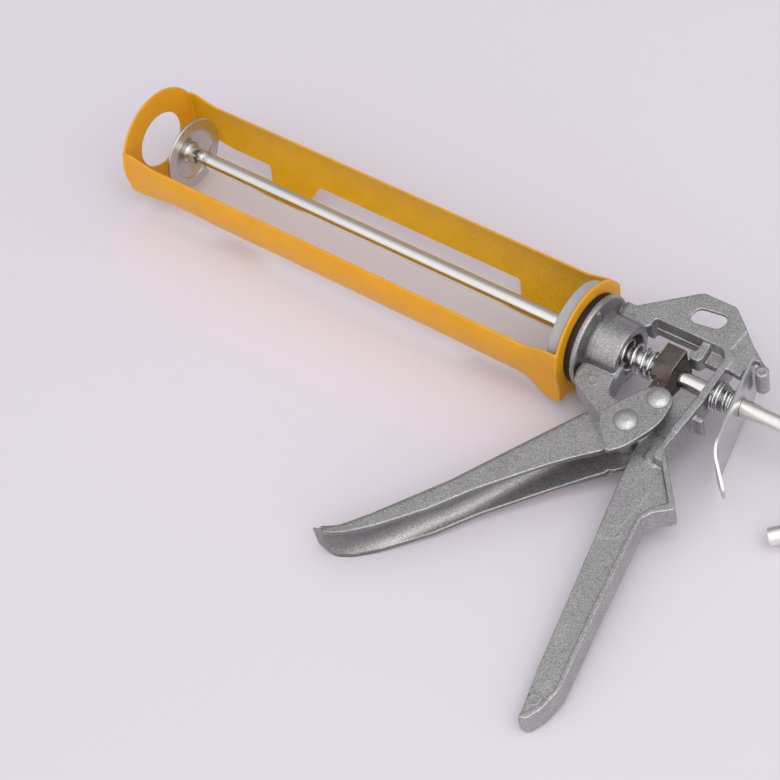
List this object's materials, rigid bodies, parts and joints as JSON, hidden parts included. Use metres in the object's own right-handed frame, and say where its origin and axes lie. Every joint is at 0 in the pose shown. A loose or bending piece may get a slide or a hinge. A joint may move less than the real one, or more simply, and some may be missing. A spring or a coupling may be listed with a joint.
{
  "type": "caulking gun",
  "caption": "Skeleton caulking gun with a swivelling open cradle, cast body and trigger, ratchet push rod with pull hook, and thumb release plate.",
  "frame": {"origin": "centre of the nozzle port at the rear face of the cradle's front plate, on the push rod's axis", "axes": "+X back along the push rod, +Y to the hanging slot side, +Z square to the plane in which the trigger turns"},
  "size_m": [0.4022, 0.2139, 0.0546],
  "materials": {
    "cradle": "smooth orange-yellow paint on pressed steel",
    "retaining_disc": "smooth light grey",
    "friction_washer": "black",
    "body": "shot-blasted die casting",
    "trigger": "shot-blasted die casting",
    "pivot_rivet": "tumbled zinc plate",
    "drive_rivet": "tumbled zinc plate",
    "drive_block": "brown heat-treated steel",
    "jaw_plate": "dark heat-treated steel",
    "drive_spring": "bright zinc plated wire",
    "push_rod": "bright zinc plate",
    "piston_disc": "bright zinc plate",
    "piston_collar": "bright zinc plate",
    "piston_nut": "bright zinc plate",
    "release_plate": "satin zinc plate",
    "release_spring": "bright zinc plated wire"
  },
  "bodies": {
    "frame": {"body": "body", "retaining_disc": "retaining_disc", "friction_washer": "friction_washer", "drive_spring": "drive_spring", "release_spring": "release_spring"},
    "cradle": {"cradle": "cradle"},
    "trigger": {"trigger": "trigger", "pivot_rivet": "pivot_rivet", "drive_rivet": "drive_rivet"},
    "drive": {"drive_block": "drive_block", "jaw_plate": "jaw_plate"},
    "piston": {"piston_disc": "piston_disc"},
    "rod": {"push_rod": "push_rod", "piston_collar": "piston_collar", "piston_nut": "piston_nut"},
    "release": {"release_plate": "release_plate"}
  },
  "joints": [
    {"name": "cradle_swivel", "type": "hinge", "parent": "frame", "child": "cradle", "pos_m": [0.254, 0, 0], "axis": [1, 0, 0], "continuous": true},
    {"name": "trigger_pivot", "type": "hinge", "parent": "frame", "child": "trigger", "pos_m": [0.297, -0.0345, 0], "axis": [0, 0, 1], "range_deg": [0, 35], "stiffness_Nm_per_rad": 0.5, "springref_deg": -11.46},
    {"name": "drive_slide", "type": "slide", "parent": "frame", "child": "drive", "axis": [-1, 0, 0], "range_m": [0, 0.0107], "deforming": ["drive_spring"]},
    {"name": "rod_slide", "type": "slide", "parent": "frame", "child": "piston", "axis": [1, 0, 0], "range_m": [-0.012, 0.222]},
    {"name": "rod_spin", "type": "hinge", "parent": "piston", "child": "rod", "pos_m": [0.02, 0, 0], "axis": [1, 0, 0], "continuous": true},
    {"name": "release_press", "type": "hinge", "parent": "frame", "child": "release", "pos_m": [0.3292, 0.0176, 0], "axis": [0, 0, -1], "range_deg": [0, 8], "stiffness_Nm_per_rad": 0.3, "springref_deg": -8.59, "deforming": ["release_spring"]}
  ],
  "couplings": [
    {"joint": "drive_slide", "follows": "trigger_pivot", "m_per_rad": 0.017293}
  ]
}
